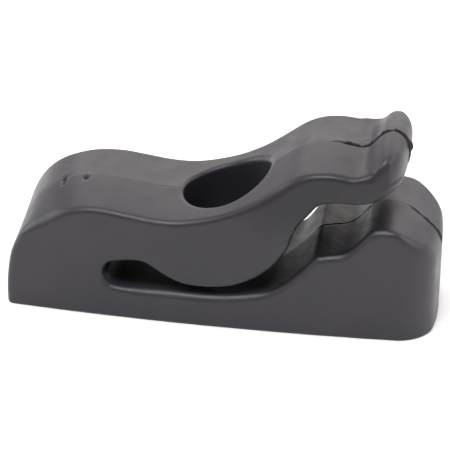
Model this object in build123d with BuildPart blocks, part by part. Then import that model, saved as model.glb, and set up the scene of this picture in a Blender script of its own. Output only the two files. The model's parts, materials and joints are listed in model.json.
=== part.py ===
from build123d import *
import os
from math import hypot

os.makedirs("parts", exist_ok=True)

# Spring-horn jam cleat, millimetres.
# Origin: centre of the foot's underside. +X runs from the stem towards the
# horn's free tip and the mouth, +Z up from the deck, Y across the cleat.

# ---------------------------------------------------------------- dimensions
LENGTH = 110.0            # foot, end to end
HALF_L = LENGTH / 2
WIDTH_MID = 32.2          # widest, a little aft of mid-length
WIDTH_STEM = 27.8         # at the stem end
WIDTH_MOUTH = 28.6        # at the mouth end
STEM_CORNER_R = 2.0       # plan corners at the stem end
MOUTH_CORNER_R = 6.5      # plan corners of the foot at the mouth end
STEM_CROWN_R = 230.0      # plan radius of the stem's end face, nearly flat
END_CROWN_R = 46.0        # plan radius of the mouth end and of the tip
TIP_X = 46.2              # horn's free end
TIP_CORNER_R = 8.0        # plan corners of the horn's tip
EDGE_R = 1.0              # moulded rounding of the long side edges

HINGE_X, HINGE_Z = -21.0, 24.0   # centre of the horn's flexing neck
KNUCKLE_R = 8.5                  # parting cylinder about that centre
KNUCKLE_GAP = 0.12               # running clearance on the parting cylinder

ACCESS_R = 10.3           # driver hole straight down through the horn
ACCESS_RIM_R = 1.1        # its rounded rims

BUSH_BORE_R = 3.3         # M6 clearance
BUSH_BODY_R = 4.5
BUSH_HEAD_R = 7.5
BUSH_HEAD_Z = 6.3         # underside of the bush's head
BUSH_TOP_Z = 9.0          # top of the bush's head, just below the floor
BUSH_SINK_R = 6.3         # mouth of the 90 degree countersink

INSERT_X = (-41.0, 40.5)  # threaded inserts, stem end and mouth end
INSERT_R = 4.0
INSERT_L = 12.0
INSERT_BORE_R = 2.5       # M6 minor
INSERT_HOLE_L = 12.6

CORE_DEPTH_STEM = 15.0    # weight-saving cores in the foot's underside
CORE_DEPTH_MOUTH = 13.0
CORES_STEM = [(-47.6, 9.0), (-35.6, 9.0)]
CORES_MOUTH = [(33.0, 8.5), (47.2, 8.0)]
CORE_X, CORE_Y = 7.4, 6.4

# Side profile on the middle plane, as X, Z points.
STEM_AND_TOP = [
    (-55.0, 0.0), (-54.95, 4.0), (-54.7, 8.0), (-54.25, 12.0), (-53.6, 15.5),
    (-52.6, 18.7), (-51.2, 21.7), (-49.4, 24.5), (-47.1, 27.0), (-44.3, 29.1),
    (-41.2, 30.7), (-37.8, 31.8), (-34.4, 32.3), (-31.0, 32.4), (-28.0, 32.25),
    (-25.0, 31.9), (-21.0, 31.4), (-17.0, 30.9), (-13.0, 30.7), (-10.0, 30.85),
    (-7.0, 31.35), (-4.0, 32.1), (-1.0, 33.0), (2.0, 34.15), (5.0, 35.6),
    (8.0, 37.3), (11.0, 39.4), (14.0, 41.7), (17.0, 44.0), (20.0, 45.8),
    (22.5, 46.75), (25.0, 47.25), (28.0, 47.45), (31.0, 47.2), (33.0, 46.85),
    (34.7, 46.8), (36.0, 47.2), (37.2, 48.3), (38.4, 49.75), (39.7, 51.05),
    (41.3, 51.8), (42.9, 51.75), (44.3, 50.8), (45.4, 49.3), (46.0, 47.5),
    (46.15, 45.3),
]
UNDERSIDE = [
    (46.15, 45.3), (45.75, 43.4), (44.5, 41.5), (42.3, 40.0), (39.5, 38.75),
    (36.0, 37.75), (32.5, 37.2), (29.0, 37.05), (26.6, 36.7), (24.6, 35.5),
    (22.6, 33.2), (21.0, 30.0), (19.6, 26.6), (18.2, 23.8), (16.5, 21.2),
    (14.6, 18.8), (12.3, 16.6), (9.7, 14.7), (7.0, 13.2), (4.2, 12.05),
    (1.3, 11.35), (-1.7, 11.0), (-4.7, 10.9), (-7.5, 11.1), (-10.2, 11.75),
    (-12.6, 12.8), (-15.0, 14.1), (-17.1, 15.4), (-19.0, 16.3), (-21.3, 16.6),
    (-24.0, 16.45), (-26.3, 15.9), (-27.9, 14.9), (-28.7, 13.3),
]
FLOOR = [
    (-28.7, 13.3), (-28.6, 11.6), (-27.6, 10.1), (-25.5, 9.4), (-22.5, 9.25),
    (-16.0, 9.2), (-10.0, 9.15), (-3.0, 9.2), (1.0, 9.4), (4.0, 9.75),
    (6.5, 10.15), (9.0, 10.7), (11.4, 11.35), (13.4, 12.15), (15.4, 13.35),
    (17.2, 14.85), (19.0, 16.6), (20.8, 18.6), (22.3, 20.4), (23.4, 21.8),
    (24.3, 22.8), (25.3, 23.4), (26.7, 23.7), (28.6, 23.95), (31.0, 24.45),
    (32.8, 25.45), (34.4, 27.0), (36.0, 29.05), (37.3, 30.6), (38.7, 31.55),
    (40.4, 32.0), (42.2, 32.05), (44.0, 31.8), (45.7, 31.25), (47.2, 30.4),
    (49.0, 29.05), (50.8, 27.45), (52.6, 25.8), (54.0, 24.4), (54.8, 23.0),
    (55.0, 21.3),
]

# Region that belongs to the horn: everything right of the hinge and above a
# line that runs through the open slot.
HORN_SIDE = [
    (-21.0, 13.0), (-21.0, 62.0), (72.0, 62.0), (72.0, 36.0), (50.0, 35.2),
    (40.0, 35.2), (31.0, 31.5), (22.3, 25.4), (17.5, 19.4), (12.0, 14.3),
    (6.0, 11.45), (-2.0, 10.1), (-8.0, 10.15), (-12.0, 10.9),
]


# ------------------------------------------------------------- shared tools
def plan_face(x_end, end_corner_r, width_end):
    """Plan outline: bowed sides, crowned ends, rounded corners."""
    hs, hm, he = WIDTH_STEM / 2, WIDTH_MID / 2, width_end / 2
    sag_s = STEM_CROWN_R - (STEM_CROWN_R**2 - hs**2) ** 0.5
    sag_e = END_CROWN_R - (END_CROWN_R**2 - he**2) ** 0.5
    with BuildSketch(Plane.XY) as sk:
        with BuildLine():
            ThreePointArc((-HALF_L + sag_s, -hs), (-6.0, -hm), (x_end - sag_e, -he))
            ThreePointArc((x_end - sag_e, -he), (x_end, 0), (x_end - sag_e, he))
            ThreePointArc((x_end - sag_e, he), (-6.0, hm), (-HALF_L + sag_s, hs))
            ThreePointArc((-HALF_L + sag_s, hs), (-HALF_L, 0), (-HALF_L + sag_s, -hs))
        make_face()
        fillet(sk.vertices().group_by(Axis.X)[0], radius=STEM_CORNER_R)
        fillet(sk.vertices().group_by(Axis.X)[-1], radius=end_corner_r)
    return sk.sketch


with BuildSketch(Plane.XZ.offset(-25)) as side_profile:
    with BuildLine():
        Spline(*STEM_AND_TOP)
        Spline(*UNDERSIDE)
        Spline(*FLOOR)
        Line(FLOOR[-1], (HALF_L, 0))
        Line((HALF_L, 0), (-HALF_L, 0))
    make_face()

with BuildSketch(Plane.XZ.offset(-25)) as horn_region:
    with BuildLine():
        Polyline(*HORN_SIDE, close=True)
    make_face()
    with Locations((HINGE_X, HINGE_Z)):
        Circle(KNUCKLE_R)

with BuildSketch(Plane.XZ.offset(-25)) as horn_clear_region:
    with BuildLine():
        Polyline(*HORN_SIDE, close=True)
    make_face()
    with Locations((HINGE_X, HINGE_Z)):
        Circle(KNUCKLE_R + KNUCKLE_GAP)

foot_plan = plan_face(HALF_L, MOUTH_CORNER_R, WIDTH_MOUTH)
horn_plan = plan_face(TIP_X, TIP_CORNER_R, 30.0)


def moulded(plan):
    """The profile cut to a plan outline, with its long side edges rounded."""
    with BuildPart() as blank:
        extrude(side_profile.sketch, amount=50)
        extrude(plan, amount=70, mode=Mode.INTERSECT)
        side_edges = [e for e in blank.edges().filter_by(GeomType.BSPLINE)
                      if abs(e.center().Y) > 9.0 and e.length > 7.0
                      and e.center().Z > 1.0]
        fillet(side_edges, radius=EDGE_R)
    return blank.part


# ---------------------------------------------------------------------- base
# Foot, stem and the socket half of the neck, in one moulding.
with BuildPart() as base:
    add(moulded(foot_plan))
    extrude(horn_clear_region.sketch, amount=50, mode=Mode.SUBTRACT)
    # seat for the bolt bush, in the floor under the driver hole
    with BuildSketch(Plane.XY):
        Circle(BUSH_BODY_R)
    extrude(amount=20, mode=Mode.SUBTRACT)
    with BuildSketch(Plane.XY.offset(BUSH_HEAD_Z)):
        Circle(BUSH_HEAD_R)
    extrude(amount=8, mode=Mode.SUBTRACT)
    # blind holes for the threaded inserts
    with BuildSketch(Plane.XY):
        with Locations(*[(x, 0) for x in INSERT_X]):
            Circle(INSERT_R)
    extrude(amount=INSERT_HOLE_L, mode=Mode.SUBTRACT)
    # cores in the underside
    with BuildSketch(Plane.XY):
        with Locations(*[(x, s * y) for x, y in CORES_STEM for s in (-1, 1)]):
            RectangleRounded(CORE_X, CORE_Y, 1.5)
    extrude(amount=CORE_DEPTH_STEM, mode=Mode.SUBTRACT)
    with BuildSketch(Plane.XY):
        with Locations(*[(x, s * y) for x, y in CORES_MOUTH for s in (-1, 1)]):
            RectangleRounded(CORE_X, CORE_Y, 1.5)
    extrude(amount=CORE_DEPTH_MOUTH, mode=Mode.SUBTRACT)
base.part.label = "base"

# ---------------------------------------------------------------------- horn
# Springy arm: knuckle half of the neck, belly, driver hole, tip and thumb lip.
with BuildPart() as horn:
    add(moulded(horn_plan))
    extrude(horn_region.sketch, amount=50, mode=Mode.INTERSECT)
    with BuildSketch(Plane.XY):
        Circle(ACCESS_R)
    extrude(amount=70, mode=Mode.SUBTRACT)
    rims = [e for e in horn.edges()
            if e.geom_type != GeomType.LINE
            and all(abs(hypot((e @ t).X, (e @ t).Y) - ACCESS_R) < 0.02
                    for t in (0.1, 0.5, 0.9))]
    fillet(rims, radius=ACCESS_RIM_R)
horn.part.label = "horn"

# ----------------------------------------------------------------- bolt bush
# Stainless compression bush: carries the bolt's clamp load down to the deck.
with BuildPart() as bolt_bush:
    with BuildSketch(Plane.XZ):
        with BuildLine():
            Polyline(
                (BUSH_BORE_R, 0), (BUSH_BODY_R - 0.4, 0), (BUSH_BODY_R, 0.4),
                (BUSH_BODY_R, BUSH_HEAD_Z), (BUSH_HEAD_R, BUSH_HEAD_Z),
                (BUSH_HEAD_R, BUSH_TOP_Z - 0.3), (BUSH_HEAD_R - 0.3, BUSH_TOP_Z),
                (BUSH_SINK_R, BUSH_TOP_Z),
                (BUSH_BORE_R, BUSH_TOP_Z - (BUSH_SINK_R - BUSH_BORE_R)),
                close=True)
        make_face()
    revolve(axis=Axis.Z)
bolt_bush.part.label = "bolt_bush"


# ------------------------------------------------------------------- inserts
def make_insert(x):
    """Brass threaded insert, pressed in from below, flush with the foot."""
    with BuildPart() as ins:
        with BuildSketch(Plane.XY):
            with Locations((x, 0)):
                Circle(INSERT_R)
        extrude(amount=INSERT_L)
        # two relief grooves between the knurled bands
        for z in (3.6, 7.6):
            with BuildSketch(Plane.XY.offset(z)):
                with Locations((x, 0)):
                    Circle(INSERT_R + 0.5)
                    Circle(INSERT_R - 0.5, mode=Mode.SUBTRACT)
            extrude(amount=0.9, mode=Mode.SUBTRACT)
        with BuildSketch(Plane.XY):
            with Locations((x, 0)):
                Circle(INSERT_BORE_R)
        extrude(amount=INSERT_L, mode=Mode.SUBTRACT)
        lead = [e for e in ins.edges().filter_by(GeomType.CIRCLE)
                if abs(e.radius - INSERT_BORE_R) < 1e-3 and e.center().Z < 0.01]
        chamfer(lead, length=0.4)
    return ins


stem_insert = make_insert(INSERT_X[0])
stem_insert.part.label = "stem_insert"
mouth_insert = make_insert(INSERT_X[1])
mouth_insert.part.label = "mouth_insert"

# --------------------------------------------------------------------- write
export_step(base.part, "parts/base.step")
export_step(horn.part, "parts/horn.step")
export_step(bolt_bush.part, "parts/bolt_bush.step")
export_step(stem_insert.part, "parts/stem_insert.step")
export_step(mouth_insert.part, "parts/mouth_insert.step")
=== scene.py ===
import bpy
import bmesh
import json
import math
import numpy as np
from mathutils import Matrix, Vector

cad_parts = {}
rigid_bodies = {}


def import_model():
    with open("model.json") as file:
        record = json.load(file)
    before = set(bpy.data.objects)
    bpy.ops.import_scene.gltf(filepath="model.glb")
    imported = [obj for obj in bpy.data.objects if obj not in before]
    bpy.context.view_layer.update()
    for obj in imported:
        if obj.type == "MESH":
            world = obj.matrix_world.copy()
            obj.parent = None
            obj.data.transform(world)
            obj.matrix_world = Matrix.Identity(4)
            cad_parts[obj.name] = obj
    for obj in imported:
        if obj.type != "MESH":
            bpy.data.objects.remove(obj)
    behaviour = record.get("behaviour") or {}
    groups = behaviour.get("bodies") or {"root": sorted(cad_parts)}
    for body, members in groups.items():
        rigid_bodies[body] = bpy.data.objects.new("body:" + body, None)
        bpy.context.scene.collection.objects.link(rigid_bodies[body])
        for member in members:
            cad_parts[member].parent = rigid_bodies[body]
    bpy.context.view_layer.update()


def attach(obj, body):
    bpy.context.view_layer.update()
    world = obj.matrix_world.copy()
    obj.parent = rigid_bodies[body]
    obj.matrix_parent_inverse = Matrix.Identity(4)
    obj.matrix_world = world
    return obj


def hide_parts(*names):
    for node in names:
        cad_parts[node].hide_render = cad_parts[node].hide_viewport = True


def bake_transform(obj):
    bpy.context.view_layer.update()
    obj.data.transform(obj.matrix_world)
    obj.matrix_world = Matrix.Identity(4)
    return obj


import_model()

scene = bpy.context.scene

# =====================================================================
# Shape of the moulding, in millimetres. The points repeat the CAD side
# profile, which is the section on the middle plane.
# =====================================================================
STEM_AND_TOP = [
    (-55.0, 0.0), (-54.95, 4.0), (-54.7, 8.0), (-54.25, 12.0), (-53.6, 15.5),
    (-52.6, 18.7), (-51.2, 21.7), (-49.4, 24.5), (-47.1, 27.0), (-44.3, 29.1),
    (-41.2, 30.7), (-37.8, 31.8), (-34.4, 32.3), (-31.0, 32.4), (-28.0, 32.25),
    (-25.0, 31.9), (-21.0, 31.4), (-17.0, 30.9), (-13.0, 30.7), (-10.0, 30.85),
    (-7.0, 31.35), (-4.0, 32.1), (-1.0, 33.0), (2.0, 34.15), (5.0, 35.6),
    (8.0, 37.3), (11.0, 39.4), (14.0, 41.7), (17.0, 44.0), (20.0, 45.8),
    (22.5, 46.75), (25.0, 47.25), (28.0, 47.45), (31.0, 47.2), (33.0, 46.85),
    (34.7, 46.8), (36.0, 47.2), (37.2, 48.3), (38.4, 49.75), (39.7, 51.05),
    (41.3, 51.8), (42.9, 51.75), (44.3, 50.8), (45.4, 49.3), (46.0, 47.5),
    (46.15, 45.3),
]
UNDERSIDE = [
    (46.15, 45.3), (45.75, 43.4), (44.5, 41.5), (42.3, 40.0), (39.5, 38.75),
    (36.0, 37.75), (32.5, 37.2), (29.0, 37.05), (26.6, 36.7), (24.6, 35.5),
    (22.6, 33.2), (21.0, 30.0), (19.6, 26.6), (18.2, 23.8), (16.5, 21.2),
    (14.6, 18.8), (12.3, 16.6), (9.7, 14.7), (7.0, 13.2), (4.2, 12.05),
    (1.3, 11.35), (-1.7, 11.0), (-4.7, 10.9), (-7.5, 11.1), (-10.2, 11.75),
    (-12.6, 12.8), (-15.0, 14.1), (-17.1, 15.4), (-19.0, 16.3), (-21.3, 16.6),
    (-24.0, 16.45), (-26.3, 15.9), (-27.9, 14.9), (-28.7, 13.3),
]
FLOOR = [
    (-28.7, 13.3), (-28.6, 11.6), (-27.6, 10.1), (-25.5, 9.4), (-22.5, 9.25),
    (-16.0, 9.2), (-10.0, 9.15), (-3.0, 9.2), (1.0, 9.4), (4.0, 9.75),
    (6.5, 10.15), (9.0, 10.7), (11.4, 11.35), (13.4, 12.15), (15.4, 13.35),
    (17.2, 14.85), (19.0, 16.6), (20.8, 18.6), (22.3, 20.4), (23.4, 21.8),
    (24.3, 22.8), (25.3, 23.4), (26.7, 23.7), (28.6, 23.95), (31.0, 24.45),
    (32.8, 25.45), (34.4, 27.0), (36.0, 29.05), (37.3, 30.6), (38.7, 31.55),
    (40.4, 32.0), (42.2, 32.05), (44.0, 31.8), (45.7, 31.25), (47.2, 30.4),
    (49.0, 29.05), (50.8, 27.45), (52.6, 25.8), (54.0, 24.4),
]
# The mid line of the open slot: the horn is above it, the foot below.
SLOT_MID = [
    (-60.0, 12.6), (-28.0, 12.6), (-21.0, 13.0), (-12.0, 10.9), (-8.0, 10.15),
    (-2.0, 10.1), (6.0, 11.45), (12.0, 14.3), (17.5, 19.4), (22.3, 25.4),
    (31.0, 31.5), (40.0, 35.2), (50.0, 35.2), (72.0, 36.0),
]
CUT_X = -28.0            # where the horn's skin starts, in the stem
ACCESS_R = 10.3
ACCESS_RIM_R = 1.1
BUSH_HEAD_R, BUSH_HEAD_Z, BUSH_BODY_R = 7.5, 6.3, 4.5
INSERT_X, INSERT_R, INSERT_HOLE_L = (-41.0, 40.5), 4.0, 12.6
CORES = [(-47.6, 9.0, 15.0), (-35.6, 9.0, 15.0), (33.0, 8.5, 13.0), (47.2, 8.0, 13.0)]
CORE_X, CORE_Y, CORE_R = 7.4, 6.4, 1.5


def spline(points, step=0.35):
    """Twice-smooth curve through the points, sampled about every step."""
    p = np.array(points, float)
    d = np.hypot(*np.diff(p, axis=0).T)
    t = np.concatenate([[0], np.cumsum(d)])
    n = len(p)
    h = np.diff(t)
    A = np.zeros((n, n))
    R = np.zeros((n, 2))
    for i in range(1, n - 1):
        A[i, i - 1] = h[i - 1]
        A[i, i] = 2 * (h[i - 1] + h[i])
        A[i, i + 1] = h[i]
        R[i] = 6 * ((p[i + 1] - p[i]) / h[i] - (p[i] - p[i - 1]) / h[i - 1])
    A[0, 0] = A[-1, -1] = 1
    M = np.linalg.solve(A, R)
    s = np.linspace(0, t[-1], max(int(t[-1] / step), 2))
    k = np.clip(np.searchsorted(t, s, side="right") - 1, 0, n - 2)
    a = (t[k + 1] - s)[:, None]
    b = (s - t[k])[:, None]
    hk = h[k][:, None]
    return (M[k] * a**3 + M[k + 1] * b**3) / (6 * hk) + \
        (p[k] / hk - M[k] * hk / 6) * a + (p[k + 1] / hk - M[k + 1] * hk / 6) * b


top = spline(STEM_AND_TOP)
under = spline(UNDERSIDE)
floor_line = spline(FLOOR)
# The profile runs on past the foot's bottom and end wall: planes cut it there.
section = np.concatenate([
    [(-55.0, -6.0)], top, under[1:], floor_line[1:],
    [(56.5, 21.9), (62.0, 16.4), (62.0, -6.0)],
])


def signed_field(poly, xs, zs):
    """Signed distance to a closed polygon on a grid, negative inside."""
    X, Z = np.meshgrid(xs, zs, indexing="ij")
    best = np.full(X.shape, 1e9)
    inside = np.zeros(X.shape, bool)
    A = poly
    B = np.roll(poly, -1, axis=0)
    for (ax, az), (bx, bz) in zip(A, B):
        ex, ez = bx - ax, bz - az
        l2 = ex * ex + ez * ez
        if l2 < 1e-12:
            continue
        wx, wz = X - ax, Z - az
        s = np.clip((wx * ex + wz * ez) / l2, 0, 1)
        dx, dz = wx - s * ex, wz - s * ez
        np.minimum(best, dx * dx + dz * dz, out=best)
        if az != bz:
            cond = (Z >= az) != (Z >= bz)
            xi = ax + (Z - az) * ex / ez if ez else ax
            inside ^= cond & (X < xi)
    return np.where(inside, -1, 1) * np.sqrt(best)


GX = np.arange(-60.0, 62.01, 0.25)
GZ = np.arange(-5.0, 58.01, 0.25)
SECTION = signed_field(section, GX, GZ)


def sample(field, x, z):
    fx = np.clip((x - GX[0]) / 0.25, 0, len(GX) - 1.001)
    fz = np.clip((z - GZ[0]) / 0.25, 0, len(GZ) - 1.001)
    i = fx.astype(int)
    k = fz.astype(int)
    u = fx - i
    v = fz - k
    return (field[i, k] * (1 - u) * (1 - v) + field[i + 1, k] * u * (1 - v)
            + field[i, k + 1] * (1 - u) * v + field[i + 1, k + 1] * u * v)


def smooth(a, b, v):
    t = np.clip((v - a) / (b - a), 0, 1)
    return t * t * (3 - 2 * t)


def meet(a, b, r):
    """Intersection of two solids with a rounded edge of radius r."""
    u = np.maximum(r + a, 0)
    v = np.maximum(r + b, 0)
    return np.minimum(-r, np.maximum(a, b)) + np.sqrt(u * u + v * v)


def cut(a, b, r):
    """a without b, with a rounded edge."""
    return meet(a, -b, r)


mid = np.array(SLOT_MID)


def slot_mid(x):
    return np.interp(x, mid[:, 0], mid[:, 1])


def half_width(x):
    """Bowed side walls: one arc through three points."""
    (x1, y1), (x2, y2), (x3, y3) = (-55.0, 13.9), (-6.0, 16.1), (55.0, 14.3)
    d = 2 * (x1 * (y2 - y3) + x2 * (y3 - y1) + x3 * (y1 - y2))
    ux = ((x1**2 + y1**2) * (y2 - y3) + (x2**2 + y2**2) * (y3 - y1) + (x3**2 + y3**2) * (y1 - y2)) / d
    uy = ((x1**2 + y1**2) * (x3 - x2) + (x2**2 + y2**2) * (x1 - x3) + (x3**2 + y3**2) * (x2 - x1)) / d
    R = math.hypot(x1 - ux, y1 - uy)
    return uy + np.sqrt(R * R - (np.clip(x, -58, 58) - ux) ** 2)


def ragged(s, seed):
    """Smooth unevenness along a line, about -1 to 1, the same every run."""
    rng = np.random.RandomState(seed)
    out = np.zeros_like(s)
    for f, a in ((0.35, 0.5), (0.9, 0.5), (2.1, 0.35)):
        out = out + a * np.sin(s * f * 2 * math.pi / 3 + rng.uniform(0, 6.28))
    return out / 1.35


def seam_strength(x, z):
    """How far the parting line stands out, 0 to 1, along the moulding."""
    top_side = z > slot_mid(x)
    amp_top = (0.008 + 0.03 * smooth(10, 14, x) + 0.12 * smooth(25.5, 28.0, x)
               + 0.84 * smooth(28.7, 29.8, x)) + 0.045 * smooth(-18, -16, x) * smooth(-9, -11, x)
    amp_top = amp_top * np.where(x > 26, smooth(42.5, 45.5, z), 1)
    shelf = 0.14 * smooth(22, 25, x) * smooth(40, 37, x) * smooth(17, 20, z)
    amp_foot = 0.02 + shelf + 0.50 * smooth(45.0, 48.5, x) * (0.08 + 0.92 * smooth(20.5, 24.5, z))
    return np.where(top_side, amp_top, amp_foot)


def seam(x, y, z):
    """The mould's parting line: a nick and a sliver of flash on y = 0."""
    top_side = z > slot_mid(x)
    amp = seam_strength(x, z)
    rag = ragged(x + 0.7 * z, 7)
    rag2 = ragged(x * 1.7 + 0.9 * z, 19)
    y0 = 0.16 * rag * amp
    nick = 0.62 * (1 + 0.35 * rag2) * np.exp(-(((y - y0) + 0.24) / 0.29) ** 2)
    lip = 0.28 * (1 + 0.8 * rag2) * np.exp(-(((y - y0) - 0.34) / 0.28) ** 2)
    out = amp * (nick - lip)
    # lumps of flash on the far half, short of the lip, and at its near end
    for bx, by, rx, ry, h in LUMPS:
        rr = ((x - bx) / rx) ** 2 + ((y - by) / ry) ** 2
        out = out - np.where(top_side, h * np.exp(-rr), 0) * smooth(42, 45, z)
    # flash standing out of the horn's nose
    r2 = ((x - 46.4) / 1.2) ** 2 + ((z - 47.9) / 1.55) ** 2
    out = out - 1.0 * np.exp(-r2) * np.exp(-((y - 0.05) / 0.5) ** 2)
    # small nick where the line leaves the foot's end wall
    r3 = ((x - 55.0) / 1.2) ** 2 + ((z - 23.2) / 0.8) ** 2
    return out + 0.35 * np.exp(-r3) * np.exp(-(y / 0.5) ** 2)


LUMPS = [  # x, y, half sizes along x and y, height
    (28.1, 0.75, 0.95, 0.55, 0.16), (32.6, 1.1, 0.60, 0.60, 0.14),
    (33.6, 2.6, 0.80, 0.90, 0.17), (35.0, 3.3, 0.85, 1.00, 0.20),
    (34.4, 1.3, 0.60, 0.60, 0.18), (36.4, 1.0, 0.60, 0.50, 0.14),
    (39.6, -14.2, 0.60, 0.80, 0.22), (42.0, -13.8, 0.50, 0.90, 0.26),
]
PIPS = [  # x, y, half sizes along x and y, depth
    (-41.6, -0.3, 0.70, 1.35, 0.58), (-41.3, -2.3, 0.58, 0.75, 0.42),
    (-35.8, -1.4, 0.62, 0.80, 0.52),
]


def moulding(x, y, z):
    """Signed field of the whole moulding, foot and horn."""
    ay = np.abs(y)
    upper = z > slot_mid(x)
    gap = np.abs(z - slot_mid(x))
    near_slot = (1 - smooth(1.5, 4.5, gap)) * (x > -30)
    # the stem end is a little out of square
    skew = np.where(y > 0, 0.085, 0.02) * y * smooth(6, 18, z) * smooth(-36, -48, x)
    stem = smooth(-18, -30, x) * (y > 0)
    mouth_far = smooth(43, 48, x) * (y > 0) * (~upper)
    stem_low = smooth(-49, -53, x) * smooth(22, 14, z) * (y < 0)
    draft = 0.62 - 0.30 * near_slot - 0.28 * stem - 0.60 * mouth_far - 0.50 * stem_low
    # the lip is a little broader and further back on the far side
    w = np.clip(y, 0, 16) / 13.0
    nose = smooth(33.5, 37.0, x) * smooth(43, 45, z)
    stretch = (x - 42.0) * np.where(x > 42, 0.27, 0.10) * w * w + 0.35 * w
    xs = x + skew - nose * (stretch - 0.35 * w * smooth(42.5, 39.0, x)) + 0.35 * nose
    a = sample(SECTION, xs, z) + draft * ay / 16.0 + seam(x, y, z)
    upper_z = upper | (x < -28)
    # crest of the lip falls away to both sides; the dip before it fills
    lip = smooth(34.8, 38.6, x) * (z > 44)
    a = a + np.where(y > 0, 0.95, 1.0) * lip * (ay / 13.0) ** 3
    dip = np.exp(-((x - 34.0) / 1.9) ** 2) * (z > 42)
    a = a + dip * np.where(y > 0, -0.55 * (ay / 13.0) ** 2, 0.30 * (ay / 16.0) ** 2)
    # near shoulder of the stem, near end of the horn's dip, near mouth slope
    near_y = np.where(y < 0, (ay / 16.0) ** 1.5, 0)
    a = a + near_y * upper_z * (
        1.9 * smooth(-28, -46, x) * smooth(21, 27, z) + 0.35 * np.exp(-((x - 32.5) / 3.0) ** 2)
        + 0.65 * smooth(24, 28, z) * smooth(36, 28, x))
    a = a + near_y * (~upper) * 0.5 * smooth(44, 49, x)
    # the far end of the ramp under the horn is worn lower
    ramp_end = 0.62 * np.exp(-((x - 19.1) / 1.8) ** 2) - 0.62 * smooth(10, 14, x) * smooth(27, 24.5, x)
    a = a + ramp_end * smooth(3, 15, y) * (~upper)
    # the near half of the horn is fuller where its underside turns up
    full = np.exp(-((x - 22.8) / 3.3) ** 2 - ((z - 34.0) / 3.4) ** 2)
    a = a - 0.74 * full * smooth(1, -6, y) * upper
    # the roof of the slot's blind end hangs a little lower
    a = a - 0.45 * np.exp(-((x + 24.0) / 4.0) ** 2 - ((z - 16.3) / 1.6) ** 2)
    # a shallow hollow behind the crest of the ramp
    a = a + 0.18 * np.exp(-((x - 26.1) / 1.3) ** 2) * (~upper) * (z > 15)
    for px, py, rx, ry, pd in PIPS:
        rr = ((x - px) / rx) ** 2 + ((y - py) / ry) ** 2
        a = a + pd * np.exp(-rr) * (z > 26)
    side = ay - half_width(x)
    far_side = y > 0
    end_foot = np.where(far_side, np.hypot(x + 15.2, y) - 70.2, np.hypot(x - 9.0, y) - 46.0)
    end_horn = np.hypot(x - 1.6, y) - 46.0
    ahead = x > 20
    corner = np.where(far_side, 4.6, 6.5)
    b = np.where(ahead, np.where(upper, meet(side, end_horn, np.where(far_side, 5.5, 8.0)), meet(side, end_foot, corner)), side)
    r = 1.45 + np.where(
        far_side,
        0.5 * smooth(37, 43, x) * upper - 0.45 * mouth_far,
        1.5 * smooth(-36.0, -46.0, x) * smooth(20, 25, z) + 1.5 * smooth(37, 43, x) * upper
        + 1.1 * np.exp(-((x - 15.0) / 6.0) ** 2) * (z > 30)
        + 1.0 * smooth(44, 49, x) * (~upper) + 0.35 * near_slot * (~upper)
        + 0.5 * smooth(-26, -20, x) * smooth(45, 40, x) * (~upper) * (z > 4))
    d = meet(a, b, r)
    d = meet(d, -z, 0.6)
    # driver hole through the horn, a touch longer than wide
    rho = np.hypot(x, y)
    rho_h = np.hypot((x - 0.35) * (10.35 / 11.0), y) - 10.35
    d = np.where(upper & (rho < 20), meet(d, -rho_h, ACCESS_RIM_R), d)
    # seat for the bush in the floor
    seat = meet(d, np.where(z > BUSH_HEAD_Z, BUSH_HEAD_R, BUSH_BODY_R) - rho, 0.25)
    d = np.where(~upper & (rho < 14), seat, d)
    # insert holes and cores in the underside
    for cx in INSERT_X:
        c = np.maximum(np.hypot(x - cx, y) - INSERT_R, z - INSERT_HOLE_L)
        near = (np.abs(x - cx) < 8) & (z < 20)
        d = np.where(near, np.maximum(d, -c), d)
    for cx, cy, depth in CORES:
        qx = np.abs(x - cx) - (CORE_X / 2 - CORE_R)
        qy = np.abs(ay - cy) - (CORE_Y / 2 - CORE_R)
        box2 = np.hypot(np.maximum(qx, 0), np.maximum(qy, 0)) + np.minimum(np.maximum(qx, qy), 0) - CORE_R
        c = meet(box2 + 0.025 * np.maximum(z, 0), z - depth, 0.8)
        near = (np.abs(x - cx) < 8) & (z < depth + 4)
        d = np.where(near, meet(d, -c, 0.3), d)
    return d


# =====================================================================
# Surface of the field as a quad mesh
# =====================================================================
def grid_axis(lo, hi, step):
    n = int(round((hi - lo) / step))
    return np.linspace(lo, hi, n + 1)


def y_axis():
    fine = np.arange(0.05, 1.0, 0.1)
    s = [fine[-1]]
    step = 0.12
    while s[-1] < 16.9:
        step = min(step * 1.2, 0.46)
        s.append(s[-1] + step)
    pos = np.concatenate([fine, s[1:]])
    return np.concatenate([-pos[::-1], pos])


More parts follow.
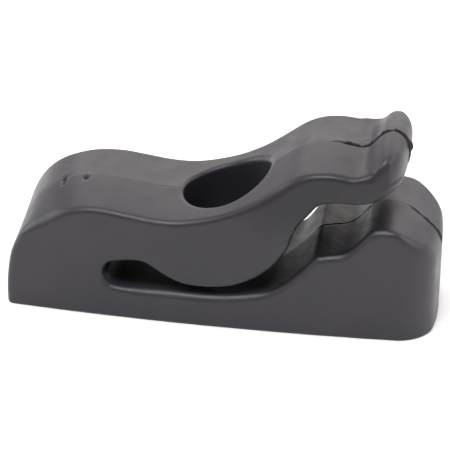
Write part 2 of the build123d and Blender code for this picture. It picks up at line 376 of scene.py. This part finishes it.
def surface(func, xs, ys, zs):
    X, Y, Z = np.meshgrid(xs, ys, zs, indexing="ij")
    F = func(X, Y, Z)
    inside = F < 0
    n = np.array(F.shape) - 1
    cells = int(n.prod())
    acc = [np.zeros(cells) for _ in range(4)]
    axes = (xs, ys, zs)
    quads = []
    for ax in range(3):
        o1, o2 = (ax + 1) % 3, (ax + 2) % 3
        lo = [slice(None)] * 3
        hi = [slice(None)] * 3
        lo[ax] = slice(None, -1)
        hi[ax] = slice(1, None)
        cross = inside[tuple(lo)] != inside[tuple(hi)]
        idx = np.array(np.nonzero(cross))
        f0 = F[tuple(lo)][cross]
        f1 = F[tuple(hi)][cross]
        t = f0 / (f0 - f1)
        P = [axes[k][idx[k]].astype(float) for k in range(3)]
        P[ax] = axes[ax][idx[ax]] + t * (axes[ax][idx[ax] + 1] - axes[ax][idx[ax]])
        corner = []
        ok_all = np.ones(idx.shape[1], bool)
        for d1, d2 in ((-1, -1), (0, -1), (0, 0), (-1, 0)):
            c = idx.copy()
            c[o1] += d1
            c[o2] += d2
            ok = (c[o1] >= 0) & (c[o1] < n[o1]) & (c[o2] >= 0) & (c[o2] < n[o2])
            ok_all &= ok
            flat = np.where(ok, (c[0] * n[1] + c[1]) * n[2] + c[2], 0)
            corner.append(flat)
            for k in range(3):
                acc[k] += np.bincount(flat[ok], weights=P[k][ok], minlength=cells)
            acc[3] += np.bincount(flat[ok], minlength=cells)
        q = np.stack(corner, 1)[ok_all]
        out = (f0 < 0)[ok_all]
        q = np.where(out[:, None], q, q[:, ::-1])
        quads.append(q)
    quads = np.concatenate(quads)
    used = np.unique(quads)
    remap = np.full(cells, -1)
    remap[used] = np.arange(len(used))
    verts = np.stack([acc[k][used] / acc[3][used] for k in range(3)], 1)
    return verts, remap[quads]


def project(func, v, rounds=4, limit=0.25):
    e = 0.02
    for _ in range(rounds):
        x, y, z = v.T
        f = func(x, y, z)
        g = np.stack([
            func(x + e, y, z) - func(x - e, y, z),
            func(x, y + e, z) - func(x, y - e, z),
            func(x, y, z + e) - func(x, y, z - e)], 1) / (2 * e)
        g2 = np.maximum((g * g).sum(1), 0.3)
        step = -(f / g2)[:, None] * g
        ln = np.linalg.norm(step, axis=1)
        step *= np.minimum(1, limit / np.maximum(ln, 1e-9))[:, None]
        v = v + step
    return v


STEP = 0.42
x_pips = grid_axis(-44.0, -34.34, 0.23)
x_all = np.concatenate([grid_axis(-56.6, -44.42, STEP), x_pips, grid_axis(-33.92, 56.38, STEP)])
verts, quads = surface(moulding, x_all, y_axis(), grid_axis(-0.9, 53.3, STEP))
verts = project(moulding, verts)
print("moulding", len(verts), "verts", len(quads), "quads")


# =====================================================================
# Cut the skin into its two pieces at the root of the horn
# =====================================================================
def painted_shade():
    """Painted shade, 0 to 1 per vertex: along the parting line's nick, in the pips, on the ramp and shelf
    under the horn, deep inside the slot and on the arm's sides.
    """
    x, y, z = verts.T
    # painted shade along the parting line's nick, where the groove lies in shadow
    amp = seam_strength(x, z)
    y0 = 0.16 * ragged(x + 0.7 * z, 7) * amp
    thick = 0.24 + 0.10 * ragged(x * 1.9 + 0.4 * z, 31)
    g = np.clip(amp * 1.15, 0, 1) * np.exp(-(((y - y0) + 0.22) / np.maximum(thick, 0.12)) ** 2)
    # painted shade in the recesses of the pips
    for px, py, rx, ry, pd in PIPS:
        rr = ((x - px) / rx) ** 2 + ((y - py) / ry) ** 2
        g = np.maximum(g, np.where(z > 26, 0.9 * np.exp(-1.3 * rr), 0))
    # painted shade: on the ramp and shelf under the horn, and deep inside the slot
    inset = half_width(x) - np.abs(y)
    patchy = 1 + 0.25 * ragged(x * 0.6 + y * 0.5, 43)
    jaw = (0.60 + 0.10 * smooth(26, 22, x)) * patchy * smooth(12, 17, x) * smooth(44, 38, x) * (z < slot_mid(x)) * smooth(10, 13, z) * smooth(0.4, 2.0, inset)
    gap = np.abs(z - slot_mid(x))
    slot = 0.85 * smooth(-31.5, -29.5, x) * smooth(17, 9, x) * smooth(6.0, 4.4, gap) * smooth(1.2, 5.0, inset)
    # painted shade: the sides of the arm darker than the foot's, more so towards the tip
    arm = 0.24 * smooth(-6, 14, x) * (z > slot_mid(x)) * smooth(24, 37, z) * smooth(2.4, 1.0, inset)
    g = np.maximum(np.maximum(g, arm), np.maximum(jaw, slot))
    return np.clip(g, 0, 1)


def whole_mesh():
    me = bpy.data.meshes.new("whole")
    me.from_pydata((verts / 1000.0).tolist(), [], quads.tolist())
    # vertex mask of painted shade, read by the plastic material
    at = me.attributes.new("painted_shade", "FLOAT", "POINT")
    at.data.foreach_set("value", painted_shade().astype(np.float32))
    return me


def piece(name, want_horn):
    bm = bmesh.new()
    bm.from_mesh(SRC)
    bmesh.ops.bisect_plane(
        bm, geom=bm.verts[:] + bm.edges[:] + bm.faces[:], dist=1e-7,
        plane_co=(CUT_X / 1000, 0, 0), plane_no=(1, 0, 0))
    drop = []
    for f in bm.faces:
        c = f.calc_center_median() * 1000
        is_horn = c.x > CUT_X and c.z > float(np.interp(c.x, mid[:, 0], mid[:, 1]))
        if is_horn != want_horn:
            drop.append(f)
    bmesh.ops.delete(bm, geom=drop, context="FACES")
    rim = [e for e in bm.edges if e.is_boundary]
    for e in rim:
        e.smooth = False
    caps = bmesh.ops.holes_fill(bm, edges=rim, sides=0)["faces"]
    for f in bm.faces:
        f.smooth = True
    for f in caps:
        f.smooth = False
    bmesh.ops.recalc_face_normals(bm, faces=bm.faces[:])
    me = bpy.data.meshes.new(name)
    bm.to_mesh(me)
    bm.free()
    ob = bpy.data.objects.new(name, me)
    scene.collection.objects.link(ob)
    return ob


SRC = whole_mesh()
foot_skin = piece("foot_skin", False)
horn_skin = piece("horn_skin", True)
print("foot_skin", len(foot_skin.data.polygons), "horn_skin", len(horn_skin.data.polygons))
bpy.data.meshes.remove(SRC)


# =====================================================================
# Materials
# =====================================================================
def nodes_of(mat):
    mat.use_nodes = True
    nt = mat.node_tree
    nt.nodes.clear()
    out = nt.nodes.new("ShaderNodeOutputMaterial")
    bs = nt.nodes.new("ShaderNodeBsdfPrincipled")
    nt.links.new(bs.outputs[0], out.inputs[0])
    return nt, bs


def noise(nt, vec, scale, detail=2.0, rough=0.5):
    n = nt.nodes.new("ShaderNodeTexNoise")
    n.inputs["Scale"].default_value = scale
    n.inputs["Detail"].default_value = detail
    n.inputs["Roughness"].default_value = rough
    nt.links.new(vec, n.inputs["Vector"])
    return n.outputs["Fac"]


def ramp(nt, fac, stops):
    r = nt.nodes.new("ShaderNodeValToRGB")
    el = r.color_ramp.elements
    while len(el) > 1:
        el.remove(el[-1])
    for i, (p, c) in enumerate(stops):
        e = el[0] if i == 0 else el.new(p)
        e.position = p
        e.color = (*c, 1) if len(c) == 3 else c
    nt.links.new(fac, r.inputs["Fac"])
    return r.outputs["Color"]


def moulded_plastic():
    mat = bpy.data.materials.new("moulded_nylon")
    nt, bs = nodes_of(mat)
    tc = nt.nodes.new("ShaderNodeTexCoord").outputs["Object"]
    cloud = noise(nt, tc, 45.0, 4.0, 0.6)
    base = ramp(nt, cloud, [(0.30, (0.0172, 0.0160, 0.0220)), (0.72, (0.0232, 0.0216, 0.0285))])
    # painted shade: the per-vertex mask darkens the base colour
    gr = nt.nodes.new("ShaderNodeAttribute")
    gr.attribute_name = "painted_shade"
    shade_mix = nt.nodes.new("ShaderNodeMix")
    shade_mix.data_type = "RGBA"
    nt.links.new(gr.outputs["Fac"], shade_mix.inputs[0])
    nt.links.new(base, shade_mix.inputs[6])
    # near-black colour of the painted shade
    shade_mix.inputs[7].default_value = (0.004, 0.0035, 0.003, 1)
    nt.links.new(shade_mix.outputs[2], bs.inputs["Base Color"])
    # the painted shade also weakens the reflection
    shine = nt.nodes.new("ShaderNodeMapRange")
    shine.inputs["To Min"].default_value = 0.42
    shine.inputs["To Max"].default_value = 0.04
    bs.inputs["Specular IOR Level"].default_value = 0.42
    nt.links.new(gr.outputs["Fac"], shine.inputs["Value"])
    nt.links.new(shine.outputs[0], bs.inputs["Specular IOR Level"])
    rg = noise(nt, tc, 160.0, 4.0, 0.65)
    mr = nt.nodes.new("ShaderNodeMapRange")
    mr.inputs["From Min"].default_value = 0.3
    mr.inputs["From Max"].default_value = 0.7
    mr.inputs["To Min"].default_value = 0.33
    mr.inputs["To Max"].default_value = 0.46
    nt.links.new(rg, mr.inputs["Value"])
    nt.links.new(mr.outputs[0], bs.inputs["Roughness"])
    grain = noise(nt, tc, 2600.0, 2.0, 0.5)
    b1 = nt.nodes.new("ShaderNodeBump")
    b1.inputs["Strength"].default_value = 0.25
    b1.inputs["Distance"].default_value = 0.00006
    nt.links.new(grain, b1.inputs["Height"])
    wave = noise(nt, tc, 120.0, 2.0, 0.5)
    b2 = nt.nodes.new("ShaderNodeBump")
    b2.inputs["Strength"].default_value = 0.13
    b2.inputs["Distance"].default_value = 0.0004
    nt.links.new(wave, b2.inputs["Height"])
    nt.links.new(b1.outputs[0], b2.inputs["Normal"])
    nt.links.new(b2.outputs[0], bs.inputs["Normal"])
    return mat


def turned_metal(name, colour, roughness):
    mat = bpy.data.materials.new(name)
    nt, bs = nodes_of(mat)
    tc = nt.nodes.new("ShaderNodeTexCoord").outputs["Object"]
    n = noise(nt, tc, 900.0, 3.0, 0.6)
    dark = tuple(c * 0.82 for c in colour)
    nt.links.new(ramp(nt, n, [(0.3, dark), (0.7, colour)]), bs.inputs["Base Color"])
    bs.inputs["Metallic"].default_value = 1.0
    bs.inputs["Roughness"].default_value = roughness
    b = nt.nodes.new("ShaderNodeBump")
    b.inputs["Strength"].default_value = 0.2
    b.inputs["Distance"].default_value = 0.00005
    nt.links.new(n, b.inputs["Height"])
    nt.links.new(b.outputs[0], bs.inputs["Normal"])
    return mat


PLASTIC = moulded_plastic()
STEEL = turned_metal("turned_stainless", (0.36, 0.36, 0.37), 0.42)
BRASS = turned_metal("turned_brass", (0.72, 0.52, 0.22), 0.3)

for ob in (foot_skin, horn_skin):
    ob.data.materials.append(PLASTIC)


def dress(node, mat):
    for o in bpy.data.objects:
        if o.type == "MESH" and o.name == node:
            if not o.material_slots:
                o.data.materials.append(mat)
            for s in o.material_slots:
                s.material = mat


dress("bolt_bush", STEEL)
dress("stem_insert", BRASS)
dress("mouth_insert", BRASS)

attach(foot_skin, "foot")
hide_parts("base")
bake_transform(horn_skin)
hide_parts("horn")


# =====================================================================
# Floor, light, camera
# =====================================================================
def floor():
    me = bpy.data.meshes.new("floor")
    s = 1.0
    me.from_pydata([(-s, -s, 0), (s, -s, 0), (s, s, 0), (-s, s, 0)], [], [(0, 1, 2, 3)])
    ob = bpy.data.objects.new("floor", me)
    scene.collection.objects.link(ob)
    mat = bpy.data.materials.new("pale_floor")
    nt, bs = nodes_of(mat)
    tc = nt.nodes.new("ShaderNodeTexCoord").outputs["Object"]
    n = noise(nt, tc, 3.0, 2.0)
    nt.links.new(ramp(nt, n, [(0.3, (0.90, 0.90, 0.90)), (0.7, (0.92, 0.92, 0.92))]), bs.inputs["Base Color"])
    bs.inputs["Roughness"].default_value = 0.9
    bs.inputs["Specular IOR Level"].default_value = 0.1
    me.materials.append(mat)


floor()


def area(name, loc, target, size, power, colour=(1, 1, 1)):
    li = bpy.data.lights.new(name, "AREA")
    li.shape = "RECTANGLE"
    li.size, li.size_y = size
    li.energy = power
    li.color = colour
    ob = bpy.data.objects.new(name, li)
    ob.location = loc
    ob.rotation_euler = (Vector(target) - Vector(loc)).to_track_quat("-Z", "Y").to_euler()
    scene.collection.objects.link(ob)
    return ob


area("overhead", (-0.10, -0.30, 0.66), (0, 0, 0.02), (0.55, 0.26), 4.4, (1.0, 0.985, 0.98))
area("top", (0.0, 0.22, 0.95), (0, 0, 0.02), (1.2, 0.6), 1.5, (1.0, 0.975, 0.95))
area("back", (0.10, 0.85, 0.55), (0, 0, 0.03), (1.5, 0.7), 4.6, (1.0, 0.925, 0.885))
area("back_low", (0.62, 0.98, 0.22), (0, 0, 0.03), (0.8, 0.30), 0.20, (0.86, 0.93, 1.0))
area("left", (-0.85, 0.1, 0.30), (0, 0, 0.02), (0.6, 0.5), 2.9)
area("right", (0.85, 0.05, 0.45), (0, 0, 0.0), (0.6, 0.5), 3.0)

world = bpy.data.worlds.new("world")
scene.world = world
world.use_nodes = True
bg = world.node_tree.nodes["Background"]
# a soft surround: white behind and above the object, dimmer behind the camera
wt = world.node_tree
sky = wt.nodes.new("ShaderNodeTexCoord")
axes = wt.nodes.new("ShaderNodeSeparateXYZ")
wt.links.new(sky.outputs["Generated"], axes.inputs[0])
depth = wt.nodes.new("ShaderNodeMapRange")
depth.inputs["From Min"].default_value = -1.0
wt.links.new(axes.outputs[1], depth.inputs["Value"])
wt.links.new(ramp(wt, depth.outputs[0], [
    (0.0, (0.42, 0.407, 0.404)), (0.5, (0.60, 0.583, 0.578)), (1.0, (0.88, 0.858, 0.85))]), bg.inputs["Color"])
bg.inputs["Strength"].default_value = 1.0

scene.view_settings.view_transform = "Standard"
scene.view_settings.look = "None"

AZ, EL, DIST, FPX = 9.52, 31.0, 0.531, 2084.0
TARGET = Vector((-0.00026, 0.0, 0.02063))
a, e = math.radians(AZ), math.radians(EL)
back = Vector((math.sin(a) * math.cos(e), -math.cos(a) * math.cos(e), math.sin(e)))
cam = bpy.data.cameras.new("camera")
cam.sensor_width = 36.0
cam.lens = FPX * 36.0 / 450.0
cam.clip_start = 0.02
cam_ob = bpy.data.objects.new("camera", cam)
cam_ob.location = TARGET + back * DIST
cam_ob.rotation_euler = back.to_track_quat("Z", "Y").to_euler()
scene.collection.objects.link(cam_ob)
scene.camera = cam_ob
